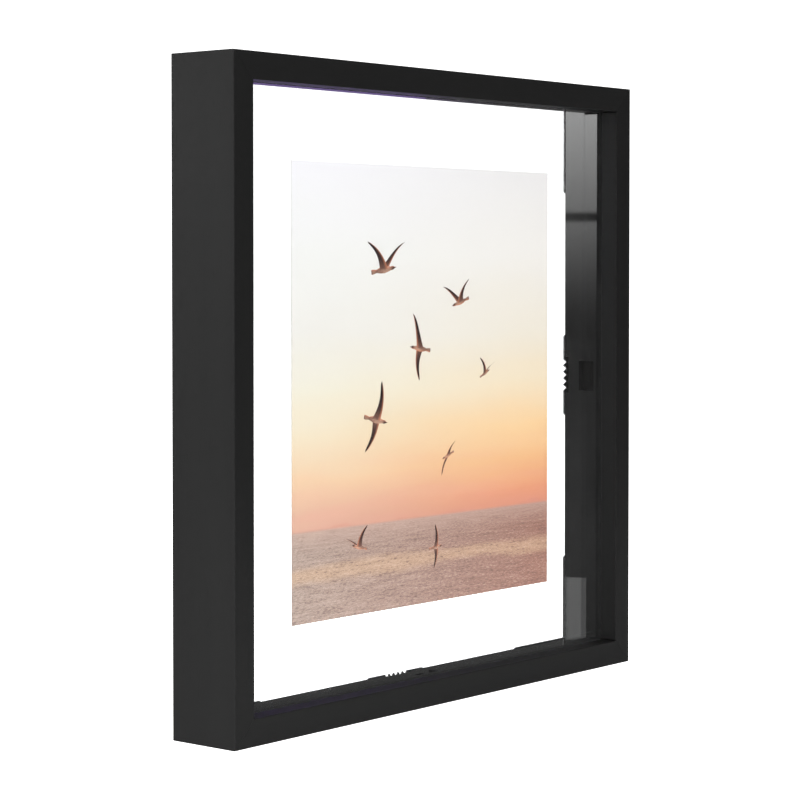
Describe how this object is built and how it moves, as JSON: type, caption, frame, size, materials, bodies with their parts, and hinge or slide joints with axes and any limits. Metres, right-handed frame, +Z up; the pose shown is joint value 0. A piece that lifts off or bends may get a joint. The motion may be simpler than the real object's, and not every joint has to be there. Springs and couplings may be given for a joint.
{
  "type": "floating frame",
  "caption": "Deep square box frame in satin black that floats a print between two clear panes, loaded from the back, with sawtooth hangers.",
  "frame": {"origin": "middle of the underside of the bottom rail, halfway through the depth", "axes": "+Z up, +X to the right seen from the front, +Y into the wall; the front faces -Y"},
  "size_m": [0.318, 0.04, 0.318],
  "materials": {
    "black_wood": "satin black lacquer over fine straight grain",
    "black_liner": "smooth black wrap with a low sheen",
    "clear_glass": "clear float glass with seamed edges",
    "printed_paper": "resin-coated photo paper, satin",
    "zinc_steel": "zinc-plated, lightly rolled"
  },
  "bodies": {
    "outer_frame": {"rail_top": "black_wood", "rail_bottom": "black_wood", "rail_left": "black_wood", "rail_right": "black_wood", "mitre_nails": "zinc_steel"},
    "front_glass": {"front_pane": "clear_glass"},
    "print_sheet": {"print": "printed_paper"},
    "back_glass": {"back_pane": "clear_glass"},
    "spacers": {"spacer_top": "black_liner", "spacer_bottom": "black_liner", "spacer_left": "black_liner", "spacer_right": "black_liner"},
    "rear_frame": {"rear_rail_top": "black_liner", "rear_rail_bottom": "black_liner", "rear_rail_left": "black_liner", "rear_rail_right": "black_liner", "corner_plate_top_left": "zinc_steel", "corner_plate_top_right": "zinc_steel", "corner_plate_bottom_left": "zinc_steel", "corner_plate_bottom_right": "zinc_steel", "corner_screws": "zinc_steel", "hanger_right": "zinc_steel", "hanger_bottom": "zinc_steel", "hanger_nails": "zinc_steel"}
  },
  "joints": [
    {"name": "rear_frame_slide", "type": "slide", "parent": "outer_frame", "child": "rear_frame", "axis": [0, 1, 0], "range_m": [0, 0.09]},
    {"name": "spacers_slide", "type": "slide", "parent": "outer_frame", "child": "spacers", "axis": [0, 1, 0], "range_m": [0, 0.065]},
    {"name": "back_glass_slide", "type": "slide", "parent": "outer_frame", "child": "back_glass", "axis": [0, 1, 0], "range_m": [0, 0.051]},
    {"name": "print_slide", "type": "slide", "parent": "outer_frame", "child": "print_sheet", "axis": [0, 1, 0], "range_m": [0, 0.043]},
    {"name": "front_glass_slide", "type": "slide", "parent": "outer_frame", "child": "front_glass", "axis": [0, 1, 0], "range_m": [0, 0.033]}
  ],
  "couplings": [
    {"joint": "spacers_slide", "follows": "rear_frame_slide", "ratio": 0.72},
    {"joint": "back_glass_slide", "follows": "rear_frame_slide", "ratio": 0.56},
    {"joint": "print_slide", "follows": "rear_frame_slide", "ratio": 0.47},
    {"joint": "front_glass_slide", "follows": "rear_frame_slide", "ratio": 0.36}
  ]
}
